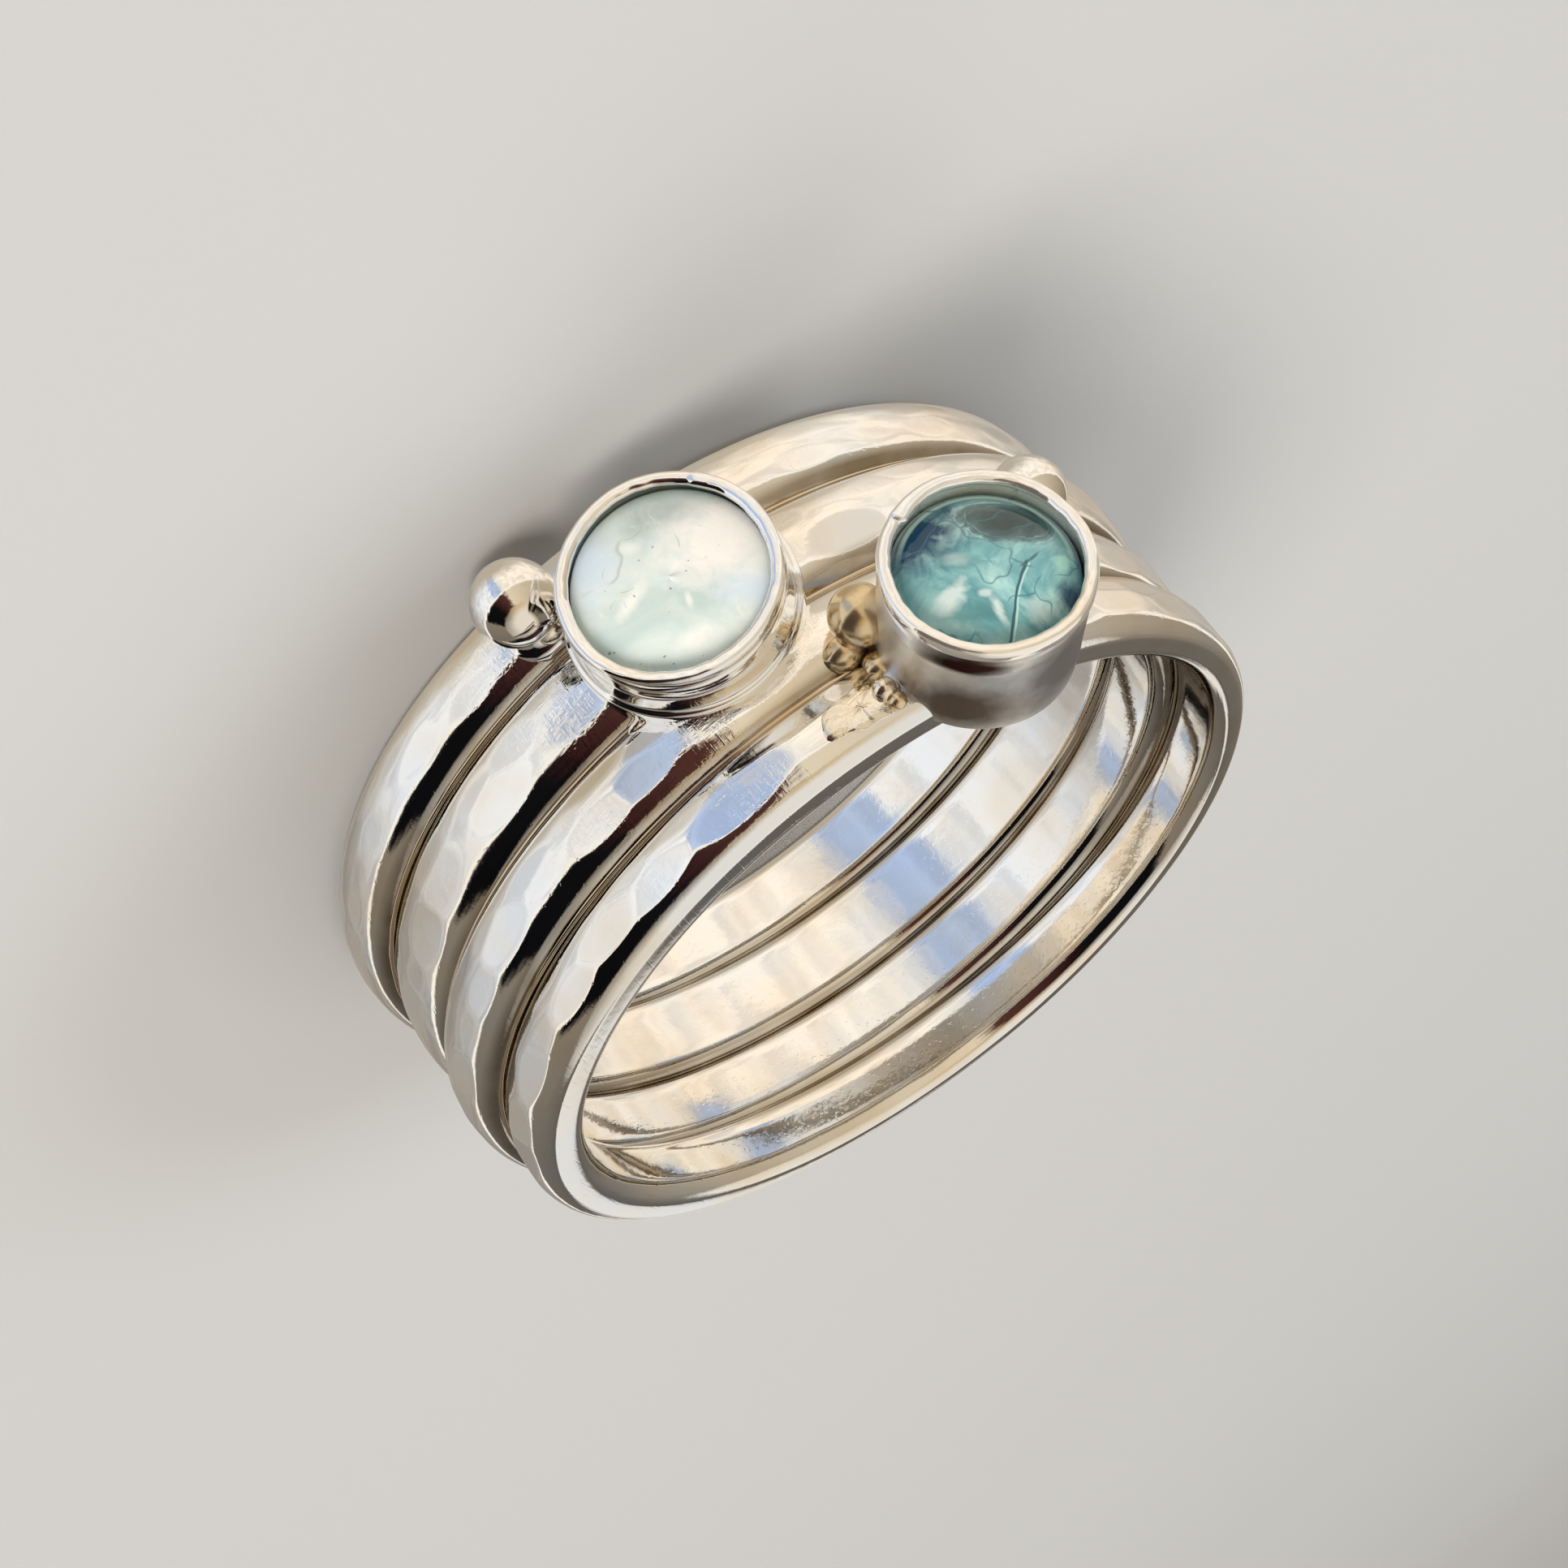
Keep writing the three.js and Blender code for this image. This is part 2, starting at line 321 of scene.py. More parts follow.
def build_cup(name, place, cup, foot_depth, seam, notch, under, seed, material):
    """A bezel cup: seam, in radians, is where its strip was joined, with a step of height
    notch, and under, in degrees, is the side where a fold runs below the rim."""
    rim, foot, opening, height, plate = (cup[k] for k in ("rim", "foot", "opening", "height", "plate"))
    base = [(plate - 0.04, -foot_depth, 0.05), (plate, 0.0, 0.1)]
    if plate > foot:
        base += [(plate - 0.02, 0.16, 0.06), (foot + 0.03, 0.22, 0.08)]
    corners = [(0.0, -foot_depth, 0)] + base + [
        (foot - 0.01, 0.42, 0.2), (rim - 0.06, height - 0.72, 0.3), (rim - 0.04, height - 0.44, 0.06),
        (rim - 0.06, height - 0.38, 0.05), (rim - 0.01, height - 0.30, 0.08),
        (rim, height - 0.12, 0.10), (rim - 0.06, height, 0.08),
        (opening + 0.05, height - 0.02, 0.08), (opening - 0.015, height - 0.12, 0.05),
        (opening + 0.06, height - CUP_LIP, 0.03), (opening + 0.10, 0.3, 0), (0.0, 0.3, 0),
    ]
    profile = smooth_profile(corners)
    slow = ripple(seed, 5, 2, 7)
    quick = ripple(seed + 1, 9, 9, 34)

    def change(phi, rho, h):
        near_rim = np.clip((h - (height - 0.55)) / 0.55, 0, 1) * (rho > opening - 0.2)
        solid = (rho > 0.5) * 1.0
        past_seam = ((phi - seam) % TAU) / TAU
        step = notch * (1 - past_seam) ** 14
        inner_edge = np.clip((rim - 0.06 - rho) / 0.12, 0, 1)
        rim_bumps = near_rim * (0.018 * slow(phi) + (0.008 + 0.012 * inner_edge) * quick(phi))
        rho = rho + solid * (0.012 * slow(phi, 0.6 * h) + rim_bumps)
        rho = rho - solid * near_rim * inner_edge * step
        away = np.abs((phi - math.radians(under) + math.pi) % TAU - math.pi)
        fold = solid * (rho > opening + 0.12) * np.exp(-(away / 0.75) ** 4)
        bulge = 0.06 * np.exp(-((h - height + 0.72) / 0.14) ** 2)
        cut = 0.10 * np.exp(-((h - height + 0.40) / 0.06) ** 2)
        rho = rho + fold * (bulge - cut)
        h = h + near_rim * (0.018 * slow(phi + 1.0) + 0.009 * quick(phi + 2.0) + 0.5 * step)
        return rho, h

    turned(name, place, profile, change, material)


def build_bead(name, material):
    """A ball of silver, and for some the foot of solder that it stands in."""
    bead = BEADS[name]
    radius, seed = bead["radius"], bead["seed"]
    sink = 0.15 * radius
    turns = np.linspace(0, math.pi, 60)
    profile = [(radius * math.sin(t), radius - sink - radius * math.cos(t)) for t in turns]
    lumps = ripple(seed, 6, 1, 5)

    def change(phi, rho, h):
        return rho * (1 + 0.010 * lumps(phi, 2.0 * h)), h

    turned("bead_" + name, bead, profile, change, material, steps=128)
    if not bead["foot"]:
        return
    foot = [
        (0.30 * radius, 0.40 * radius, 0), (0.70 * radius, 0.22 * radius, 0.15 * radius),
        (0.80 * radius, 0.02 * radius, 0.3 * radius), (1.02 * radius, -0.10, 0.15 * radius),
        (1.06 * radius, -0.40, 0.1), (0.2 * radius, -0.5, 0),
    ]
    rough = ripple(seed + 5, 6, 1, 4)
    band = BANDS[bead["band"]]
    room = (band["high"] - band["low"]) / 2 - 0.08

    def spread(phi, rho, h):
        reach = np.clip(rho / radius - 0.6, 0, 1)
        rho = rho * (1 + 0.04 * reach * rough(phi))
        limit = room / np.maximum(np.abs(np.sin(phi)), 1e-3)
        return np.minimum(rho, limit), h + 0.02 * rough(phi + 1.0) * reach

    turned("solder_" + name, bead, smooth_profile(foot), spread, material, steps=128)


# The lumps of solder at the feet of the cups: half sizes round the ring, along its axis and
# upwards, how far each is sunk, how crumpled it is, and the seed.
LUMPS = {
    "collar_back": (dict(band="back", angle=-83.8, offset=0.60), 0.42, 0.30, 0.42, 0.10, 0.03, 61),
    "moon_foot": (dict(band="inner", angle=-84.2, offset=-0.88), 0.42, 0.16, 0.22, 0.34, 0.04, 63),
    "teal_ball": (dict(band="teal", angle=-104.9, offset=0.12), 0.25, 0.25, 0.25, -0.10, 0.01, 62),
    "teal_ball_dark": (dict(band="teal", angle=-105.4, offset=0.45), 0.20, 0.20, 0.20, 0.00, 0.02, 64),
    "teal_collar": (dict(band="inner", angle=-107.4, offset=0.62), 0.50, 0.40, 0.50, 0.22, 0.01, 65),
    "teal_bridge": (dict(band="teal", angle=-107.0, offset=-0.55), 0.36, 0.34, 0.26, 0.20, 0.01, 67),
    "teal_pool": (dict(band="teal", angle=-101.6, offset=0.14), 0.90, 0.46, 0.11, 0.06, 0.24, 66),
}
PALE_LUMPS = ("teal_ball", "teal_pool", "moon_foot", "collar_back")
CRUMPLED_FROM = 0.1


def build_lump(name, material):
    place, wide, deep, tall, sink, crinkle, seed = LUMPS[name]
    lumpy = ripple(seed, 7, 1, 9 if crinkle > CRUMPLED_FROM else 3)
    profile = [(math.sin(t), -math.cos(t)) for t in np.linspace(0, math.pi, 40)]

    def change(phi, rho, h):
        rough = 1 + crinkle * lumpy(phi, h)
        oval = 1 / np.sqrt((np.cos(phi) / wide) ** 2 + (np.sin(phi) / deep) ** 2)
        return rho * oval * rough, h * tall * (1 + crinkle * lumpy(phi, rho)) - sink

    turned("lump_" + name, place, profile, change, material, steps=96)


def build_stone(node, place, cup, edge, crown, power, seed, material):
    """A cabochon: a round base, a side up to its edge and a dome up to its crown."""
    base = 0.5
    rim = cup["opening"] + 0.05
    profile = [(0.0, base), (rim, base), (rim, edge)]
    for t in np.linspace(0, 1, 48)[1:]:
        rho = rim * (1 - t)
        profile.append((rho, edge + (crown - edge) * (1 - (rho / rim) ** power) ** (1 / power)))
    uneven = ripple(seed, 5, 1, 4)

    def change(phi, rho, h):
        top = (h > edge) * (1 - rho / rim)
        return rho, h + 0.03 * top * uneven(phi, rho)

    turned(node + "_cab", place, profile, change, material, node, steps=192)


# ---- the figure of the stones and the painted reflection in the teal stone, in mm to the right and up on the face as it is worn ----
CREAM = (1.0, 1.0, 1.0)
GREY_MINT = (0.42, 0.50, 0.50)
PALE_BLUE = (0.70, 0.84, 1.0)
MILK = (0.94, 0.98, 0.98)
DEEP_BLUE = (0.002, 0.055, 0.135)
CLOUD = (0.80, 0.92, 0.90)
DARK_TEAL = (0.07, 0.25, 0.26)
# the colour of the painted dark reflection in the teal stone
SHADE = (0.018, 0.034, 0.036)
AQUA = (0.45, 0.85, 0.75)
MOON_TURN = 218
TEAL_TURN = 214
# right, up, half width, half height, turn, colour, strength
MOON_PATCHES = (
    (-0.15, 1.45, 1.00, 0.45, 0, GREY_MINT, 0.7),
    (-0.70, 1.10, 0.45, 0.40, 0, GREY_MINT, 0.55),
    (-1.70, 0.35, 0.80, 1.05, 0, PALE_BLUE, 0.95),
    (1.65, -0.25, 1.05, 0.60, -15, PALE_BLUE, 0.75),
    (0.95, 0.80, 1.55, 1.15, 20, CREAM, 1.0),
    (-0.72, -0.50, 0.22, 0.55, -30, MILK, 0.9),
    (0.44, -0.50, 0.10, 0.25, 20, MILK, 0.8),
    (-0.83, 0.65, 0.30, 0.18, 0, MILK, 0.7),
    (0.55, -1.35, 0.50, 0.30, 30, MILK, 0.7),
)
# right, up, radius
MOON_RINGS = ((-0.95, 0.10, 0.42), (-0.98, -0.62, 0.15))
TEAL_PATCHES = (
    (-1.32, 0.62, 1.28, 0.95, 35, DEEP_BLUE, 1.0),
    (1.62, -0.60, 0.38, 0.50, 0, DEEP_BLUE, 0.9),
    (-0.28, -1.10, 0.85, 0.30, 0, DARK_TEAL, 0.7),
    (-0.70, -0.75, 0.26, 0.52, -35, CLOUD, 0.8),
    (0.17, -1.02, 0.12, 0.38, 25, CLOUD, 0.8),
    (-0.10, -0.70, 0.16, 0.10, 0, CLOUD, 0.7),
    (-0.62, 0.05, 0.30, 0.18, 0, CLOUD, 0.35),
    (0.96, -1.00, 0.40, 0.35, 0, CLOUD, 0.5),
    (1.45, 0.05, 0.22, 0.50, -20, AQUA, 0.8),
)
# The painted reflection of a dark thing in the teal stone: right, up, half width, half height, turn
TEAL_REFLECTION_OVAL = (0.36, 1.02, 1.18, 0.62, -8)
# The tall cup's painted shade, darker down one side and at its foot, and a painted dark reflection
# under its rim: radians round its wall, mm up it, half sizes, turn, colour, strength
CUP_PAINTED_SHADE = (
    (-2.00, 0.95, 1.60, 1.90, 0, (0.27, 0.26, 0.25), 1.0),
    (-0.72, 0.25, 0.90, 1.05, 0, (0.17, 0.13, 0.10), 1.0),
    (-0.05, 1.05, 0.50, 0.60, 0, (0.60, 0.57, 0.53), 0.5),
    (-0.70, 1.86, 0.52, 0.36, 0, (0.035, 0.012, 0.010), 1.0),
    (-0.85, 1.90, 0.46, 0.22, 0, (0.035, 0.012, 0.010), 1.0),
)


# ---- materials ----
class Graph:
    """Short names for making and joining shader nodes."""

    def __init__(self, tree):
        self.tree = tree
        tree.nodes.clear()

    def add(self, kind, **settings):
        node = self.tree.nodes.new(kind)
        for key, value in settings.items():
            setattr(node, key, value)
        return node

    def link(self, a, b):
        self.tree.links.new(a, b)

    def join(self, value, socket):
        """Feeds a socket with a number, a colour or another node's output."""
        if isinstance(value, (int, float)):
            socket.default_value = value
        elif isinstance(value, tuple):
            socket.default_value = (*value, 1)
        else:
            self.link(value, socket)

    def ramp(self, source, stops):
        """Stops are pairs of a place and a colour, or one number for a grey."""
        node = self.add("ShaderNodeValToRGB")
        elements = node.color_ramp.elements
        while len(elements) < len(stops):
            elements.new(0.5)
        for element, (place, colour) in zip(elements, stops):
            element.position = place
            element.color = (*colour, 1) if isinstance(colour, tuple) else (colour, colour, colour, 1)
        self.link(source, node.inputs[0])
        return node.outputs[0]

    def noise(self, coordinate, scale, detail=3.0, roughness=0.5, distortion=0.0):
        node = self.add("ShaderNodeTexNoise")
        node.inputs["Scale"].default_value = scale
        node.inputs["Detail"].default_value = detail
        node.inputs["Roughness"].default_value = roughness
        node.inputs["Distortion"].default_value = distortion
        self.link(coordinate, node.inputs["Vector"])
        return node.outputs["Fac"]

    def stretch(self, coordinate, scale, rotation):
        node = self.add("ShaderNodeMapping")
        node.inputs["Scale"].default_value = scale
        node.inputs["Rotation"].default_value = rotation
        self.link(coordinate, node.inputs["Vector"])
        return node.outputs[0]

    def split(self, vector):
        node = self.add("ShaderNodeSeparateXYZ")
        self.link(vector, node.inputs[0])
        return tuple(node.outputs)

    def attribute(self, name):
        return self.add("ShaderNodeAttribute", attribute_name=name).outputs["Fac"]

    def math(self, operation, *values):
        node = self.add("ShaderNodeMath", operation=operation)
        for value, socket in zip(values, node.inputs):
            self.join(value, socket)
        return node.outputs[0]

    def times(self, a, b):
        return self.math("MULTIPLY", a, b)

    def plus(self, a, b):
        return self.math("ADD", a, b)

    def minus(self, a, b):
        return self.math("SUBTRACT", a, b)

    def mix(self, factor, a, b, blend="MIX"):
        node = self.add("ShaderNodeMix", data_type="RGBA", blend_type=blend)
        self.join(factor, node.inputs[0])
        self.join(a, node.inputs[6])
        self.join(b, node.inputs[7])
        return node.outputs[2]

    def bump(self, shader, height, strength, distance):
        node = self.add("ShaderNodeBump")
        node.inputs["Strength"].default_value = strength
        node.inputs["Distance"].default_value = distance
        self.link(height, node.inputs["Height"])
        self.link(node.outputs[0], shader.inputs["Normal"])


def new_material(name, kind="ShaderNodeBsdfPrincipled"):
    """A material, its graph, its shader and the piece's own coordinates."""
    material = bpy.data.materials.new(name)
    material.use_nodes = True
    g = Graph(material.node_tree)
    shader = g.add(kind)
    g.link(shader.outputs[0], g.add("ShaderNodeOutputMaterial").inputs[0])
    return material, g, shader, g.add("ShaderNodeTexCoord").outputs["Object"]


def oval_distance(g, right, up, centre_right, centre_up, width, height, turn):
    """0 at the oval's middle and 1 on its outline."""
    c, s = math.cos(math.radians(turn)), math.sin(math.radians(turn))
    a, b = g.minus(right, centre_right), g.minus(up, centre_up)
    along = g.plus(g.times(a, c / width), g.times(b, s / width))
    across = g.minus(g.times(b, c / height), g.times(a, s / height))
    return g.math("SQRT", g.plus(g.times(along, along), g.times(across, across)))


def wobble(g, distance, noise, amount):
    return g.plus(distance, g.times(g.minus(noise, 0.5), amount))


def paint_patches(g, colour, right, up, rows, noise, amount):
    """Soft ovals of colour, each row as in the tables of patches."""
    for *oval, tint, strength in rows:
        far = wobble(g, oval_distance(g, right, up, *oval), noise, amount)
        colour = g.mix(g.ramp(far, [(0.35, strength), (1.0, 0)]), colour, tint)
    return colour


def cup_painted_shade(g, colour, place):
    """Painted shade down one side of the tall cup's wall and at its foot, and a painted dark reflection
    under its rim, in its own axes.
    """
    x, y, z = g.split(place)
    level = g.times(y, 1 / MM)
    patchy = g.noise(place, 1100.0, 4.0, 0.6)
    below_rim = g.ramp(g.times(level, 0.4), [(0.84, 1), (0.87, 0)])
    turn = g.math("ARCTAN2", z, x)
    cup_shaded = paint_patches(g, colour, turn, level, CUP_PAINTED_SHADE, patchy, 0.5)
    return g.mix(below_rim, colour, cup_shaded)


def hammered_colour(g, colour, place):
    """A painted reflection tone for each facet, painted highlights on the edges between them, and
    painted shade in the grooves.
    """
    # painted reflection: each facet's colour a little lighter or darker, as if it caught a different
    # reflection
    tones = g.ramp(g.attribute("tone"), [
        (0.0, (0.86, 0.85, 0.84)),
        (0.4, (0.97, 0.96, 0.94)),
        (1.0, (1.0, 0.99, 0.97)),
    ])
    colour = g.mix(0.8, colour, tones, "MULTIPLY")
    # painted highlight: cream on the edges between facets, where the rounded ridges would catch the
    # light
    colour = g.mix(g.times(g.attribute("edge"), 0.35), colour, (1.0, 0.97, 0.91))
    # painted shade: brown-grey towards the grooves between bands
    patchy = g.ramp(g.noise(place, 500.0, 3.0), [(0.35, 0.6), (0.6, 1)])
    return g.mix(g.times(g.attribute("groove"), patchy), colour, (0.36, 0.30, 0.22))


def file_marks(g, place):
    """Short marks two ways across the bands, in patches round the stones."""
    nearness = g.times(g.split(place)[1], -1 / (MARKS_REACH * MM))
    near_stones = g.ramp(nearness, [(0.68, 0), (0.74, 1)])
    patchy = g.ramp(g.noise(place, 600.0, 2.0), [(0.45, 0), (0.58, 1)])
    one_way = g.noise(g.stretch(place, (14000.0, 2500.0, 2500.0), (0.0, 0.7, 0.3)), 1.0, 2.0)
    other_way = g.noise(g.stretch(place, (2500.0, 2500.0, 14000.0), (0.0, 0.5, 0.2)), 1.0, 2.0)
    return g.times(g.math("MAXIMUM", one_way, other_way), g.times(near_stones, patchy))


def silver_material(
    name, scratches, satin=0.0, flats=False, polish_above=None, tint=None, crumpled=False,
):
    """Silver or solder; satin makes it duller up to polish_above, in mm up a cup's wall."""
    material, g, shader, place = new_material(name)
    shader.inputs["Metallic"].default_value = 1.0 - 0.08 * satin
    colour = g.ramp(g.noise(place, 420.0, 3.0), [
        (0.32, (0.90, 0.83, 0.73)),
        (0.50, (0.94, 0.92, 0.88)),
        (0.68, (0.90, 0.93, 0.97)),
    ])
    if flats:
        colour = hammered_colour(g, colour, place)
    if tint is not None:
        colour = g.mix(1.0, colour, tint, "MULTIPLY")
    # painted shade and a painted dark reflection on the tall cup's wall
    if polish_above is not None:
        colour = cup_painted_shade(g, colour, place)
    g.link(colour, shader.inputs["Base Color"])
    smear = g.noise(g.stretch(place, (420.0, 420.0, 1500.0), (0.10, 0.06, 0.9)), 1.0, 4.0, 0.6)
    rough = g.plus(g.times(smear, 0.10 + 0.1 * satin), 0.02 + 0.20 * satin)
    if polish_above is not None:
        level = g.times(g.split(place)[1], 1 / (polish_above * MM))
        rough = g.times(rough, g.ramp(level, [(0.93, 1), (0.98, 0.3)]))
    g.link(rough, shader.inputs["Roughness"])
    hair = g.noise(g.stretch(place, (9000.0, 700.0, 9000.0), (0.2, 0.7, 0.5)), 1.0, 2.0)
    lines = g.ramp(hair, [(0.60, 0), (0.72, 1)])
    fine = g.noise(place, 5200.0, 2.0)
    height = g.plus(g.times(lines, -0.2 * scratches), g.times(fine, 0.35))
    height = g.plus(height, g.times(g.noise(place, 900.0, 2.0), 1.2))
    if flats:
        height = g.plus(height, g.times(file_marks(g, place), 2.2))
    if crumpled:
        folded = g.stretch(place, (1500.0, 1500.0, 3200.0), (0.0, 0.6, 0.0))
        height = g.plus(height, g.times(g.noise(folded, 1.0, 3.0, 0.6, 1.2), 5.0))
    g.bump(shader, height, 0.22, 0.00002)
    return material


def face_axes(g, place, turn):
    """Millimetres to the right and up on a stone's face, from the piece's own axes."""
    x, _, z = g.split(place)
    c, s = math.cos(math.radians(turn)) / MM, math.sin(math.radians(turn)) / MM
    right = g.plus(g.times(x, c), g.times(z, s))
    up = g.minus(g.times(x, s), g.times(z, c))
    return right, up


def thin_line(g, distance, width):
    """1 where a distance is nearly 0."""
    return g.ramp(g.math("ABSOLUTE", distance), [(width * 0.4, 1), (width, 0)])


def crack_lines(g, place, cell, bend, width):
    """1 along the bent edges of cells."""
    wave = g.add("ShaderNodeTexNoise")
    wave.inputs["Scale"].default_value = cell * 1.6
    g.link(place, wave.inputs["Vector"])
    shrink = g.add("ShaderNodeVectorMath", operation="SCALE")
    shrink.inputs["Scale"].default_value = bend
    g.link(wave.outputs["Color"], shrink.inputs[0])
    warp = g.add("ShaderNodeVectorMath", operation="ADD")
    g.link(place, warp.inputs[0])
    g.link(shrink.outputs[0], warp.inputs[1])
    cells = g.add("ShaderNodeTexVoronoi", feature="DISTANCE_TO_EDGE")
    cells.inputs["Scale"].default_value = cell
    g.link(warp.outputs[0], cells.inputs["Vector"])
    return g.ramp(cells.outputs["Distance"], [(0.0, 1), (width, 0)])


def moonstone_material():
    material, g, shader, place = new_material("moonstone_milk")
    right, up = face_axes(g, place, MOON_TURN)
    soft = g.noise(place, 520.0, 4.0, 0.6, 0.8)
    fine = g.noise(place, 1700.0, 4.0, 0.65, 0.4)
    colour = g.ramp(soft, [
        (0.36, (0.57, 0.72, 0.72)),
        (0.50, (0.67, 0.80, 0.80)),
        (0.66, (0.81, 0.90, 0.90)),
    ])
    colour = paint_patches(g, colour, right, up, MOON_PATCHES, fine, 1.1)
    wisps = g.ramp(g.noise(place, 1300.0, 5.0, 0.6, 1.5), [(0.58, 0), (0.72, 0.6)])
    colour = g.mix(wisps, colour, (0.96, 0.98, 0.95))
    for centre_right, centre_up, radius in MOON_RINGS:
        far = oval_distance(g, right, up, centre_right, centre_up, radius, radius, 0)
        arc = thin_line(g, g.minus(wobble(g, far, soft, 0.7), 1.0), 0.014 / radius)
        arc = g.times(arc, g.ramp(fine, [(0.48, 0), (0.56, 0.6)]))
        colour = g.mix(arc, colour, (0.34, 0.40, 0.38))
    speck = g.ramp(g.noise(place, 6500.0, 1.0), [(0.20, (0.35, 0.36, 0.33)), (0.25, 1)])
    colour = g.mix(1.0, colour, speck, "MULTIPLY")
    here = g.ramp(g.noise(place, 700.0, 1.0), [(0.56, 0), (0.62, 0.55)])
    cracks = g.times(crack_lines(g, place, 420.0, 0.0010, 0.012), here)
    colour = g.mix(cracks, colour, (0.36, 0.42, 0.38))
    g.link(colour, shader.inputs["Base Color"])
    shader.inputs["Subsurface Weight"].default_value = 0.2
    shader.inputs["Subsurface Radius"].default_value = (0.0002, 0.0003, 0.0004)
    shader.inputs["Subsurface Scale"].default_value = 1.0
    shader.inputs["Roughness"].default_value = 0.12
    shader.inputs["Coat Weight"].default_value = 0.5
    shader.inputs["Coat Roughness"].default_value = 0.05
    g.bump(shader, fine, 0.25, 0.00003)
    return material


def teal_painted_reflection(g, colour, place, right, up, soft):
    """The painted reflection in the teal stone: a dark oval and the broken rings round it."""
    shade = wobble(g, oval_distance(g, right, up, *TEAL_REFLECTION_OVAL), soft, 0.9)
    dark = g.ramp(shade, [(0.35, 0.93), (0.78, 0.74), (1.25, 0)])
    colour = g.mix(dark, colour, SHADE)
    ripples = g.ramp(g.math("SINE", g.times(shade, 36.0)), [(0.35, 0), (0.98, 1)])
    near = g.ramp(shade, [(0.66, 0), (0.86, 1), (1.15, 0.6), (1.45, 0)])
    fine = g.noise(place, 1700.0, 4.0, 0.6, 1.0)
    broken = g.times(near, g.ramp(fine, [(0.42, 0.1), (0.58, 0.75)]))
    return g.mix(g.times(ripples, broken), colour, (0.62, 0.86, 0.84))


def teal_rim(g, colour, edge, up):
    """A painted highlight along the dome's upper edge and a pale band of painted light inside the upper
    rim of the teal stone.
    """
    upper = g.ramp(up, [(0.0, 0), (0.9, 0.9)])
    # painted highlight: a bright thin arc along the dome's upper edge
    line = g.times(thin_line(g, g.minus(edge, 0.90), 0.04), upper)
    colour = g.mix(line, colour, (0.62, 0.90, 0.86))
    # painted light: a pale band just inside the upper rim
    painted_light_band = g.times(g.ramp(edge, [(0.93, 0), (0.97, 1)]), upper)
    return g.mix(painted_light_band, colour, (0.70, 0.90, 0.87))


def teal_veins(g, colour, place, right, up):
    """A dark vein with a pale side below the middle, its branch, and fine cracks."""
    bends = g.noise(place, 900.0, 2.0)
    vein = g.minus(right, g.plus(g.times(up, 0.24), 0.71))
    vein = wobble(g, vein, bends, 0.30)
    below = g.ramp(g.plus(g.times(up, -1.0), 0.10), [(0.0, 0), (0.12, 1)])
    pale_side = g.times(thin_line(g, g.minus(vein, 0.05), 0.03), below)
    colour = g.mix(pale_side, colour, (0.50, 0.78, 0.76))
    colour = g.mix(g.times(thin_line(g, vein, 0.038), below), colour, (0.03, 0.12, 0.15))
    branch = g.minus(right, g.plus(g.times(up, 0.95), 0.72))
    branch = wobble(g, branch, bends, 0.25)
    span = g.ramp(g.plus(up, 0.2), [(0.08, 0), (0.14, 0.8), (0.40, 0.8), (0.52, 0)])
    colour = g.mix(g.times(thin_line(g, branch, 0.05), span), colour, (0.03, 0.12, 0.15))
    here = g.ramp(g.noise(place, 800.0, 1.0), [(0.42, 0), (0.50, 0.8)])
    cracks = g.times(crack_lines(g, place, 620.0, 0.0014, 0.022), here)
    return g.mix(cracks, colour, (0.05, 0.20, 0.25))


def teal_material():
    material, g, shader, place = new_material("teal_crystal")
    right, up = face_axes(g, place, TEAL_TURN)
    soft = g.noise(place, 560.0, 4.0, 0.6, 1.4)
    colour = g.ramp(soft, [
        (0.32, (0.09, 0.32, 0.38)),
        (0.44, (0.20, 0.48, 0.52)),
        (0.56, (0.37, 0.68, 0.69)),
        (0.68, (0.54, 0.83, 0.82)),
    ])
    edge = oval_distance(g, right, up, 0, 0, 1.9, 1.9, 0)
    # painted shade: the stone darker towards its edge on the upper side, by the rim
    deep = g.ramp(wobble(g, edge, soft, 0.4), [(0.72, 0), (1.0, 0.75)])
    above = g.ramp(g.plus(g.times(up, 0.25), 0.5), [(0.30, 0.15), (0.55, 1)])
    colour = g.mix(g.times(deep, above), colour, (0.02, 0.15, 0.24))
    uneven = g.noise(place, 1500.0, 4.0, 0.6, 1.5)
    colour = paint_patches(g, colour, right, up, TEAL_PATCHES, uneven, 1.5)
    colour = teal_painted_reflection(g, colour, place, right, up, soft)
    colour = teal_rim(g, colour, edge, up)
    colour = teal_veins(g, colour, place, right, up)
    g.link(colour, shader.inputs["Base Color"])
    shader.inputs["Roughness"].default_value = 0.04
    shader.inputs["IOR"].default_value = 1.5
    shader.inputs["Coat Weight"].default_value = 0.25
    shader.inputs["Coat Roughness"].default_value = 0.02
    return material


def floor_material():
    material, g, shader, place = new_material("pale_floor")
    colour = g.ramp(g.noise(place, 3.0), [
        (0.3, (0.300, 0.302, 0.305)),
        (0.7, (0.322, 0.325, 0.328)),
    ])
    g.link(colour, shader.inputs["Base Color"])
    shader.inputs["Roughness"].default_value = 0.7
    return material


def backdrop_material():
    material, g, glow, place = new_material("pale_backdrop", "ShaderNodeEmission")
    colour = g.ramp(g.noise(place, 0.8), [
        (0.3, (0.57, 0.56, 0.545)),
        (0.7, (0.60, 0.59, 0.575)),
    ])
    g.link(colour, glow.inputs["Color"])
    return material


# ---- build the object ----
polished = silver_material("silver_polished", 0.6)
hammered = silver_material("silver_hammered", 0.9, flats=True)
satin = silver_material("silver_satin", 0.7, 1.3, polish_above=2.2)
solder = silver_material("silver_solder", 0.3, 0.55, tint=(0.80, 0.66, 0.44))
pale_solder = silver_material("silver_solder_pale", 0.9, 0.25, crumpled=True, tint=(0.96, 0.89, 0.77))
seam_solder = silver_material("silver_seam", 0.3, 0.3, tint=(0.72, 0.60, 0.44))
milk = moonstone_material()
crystal = teal_material()

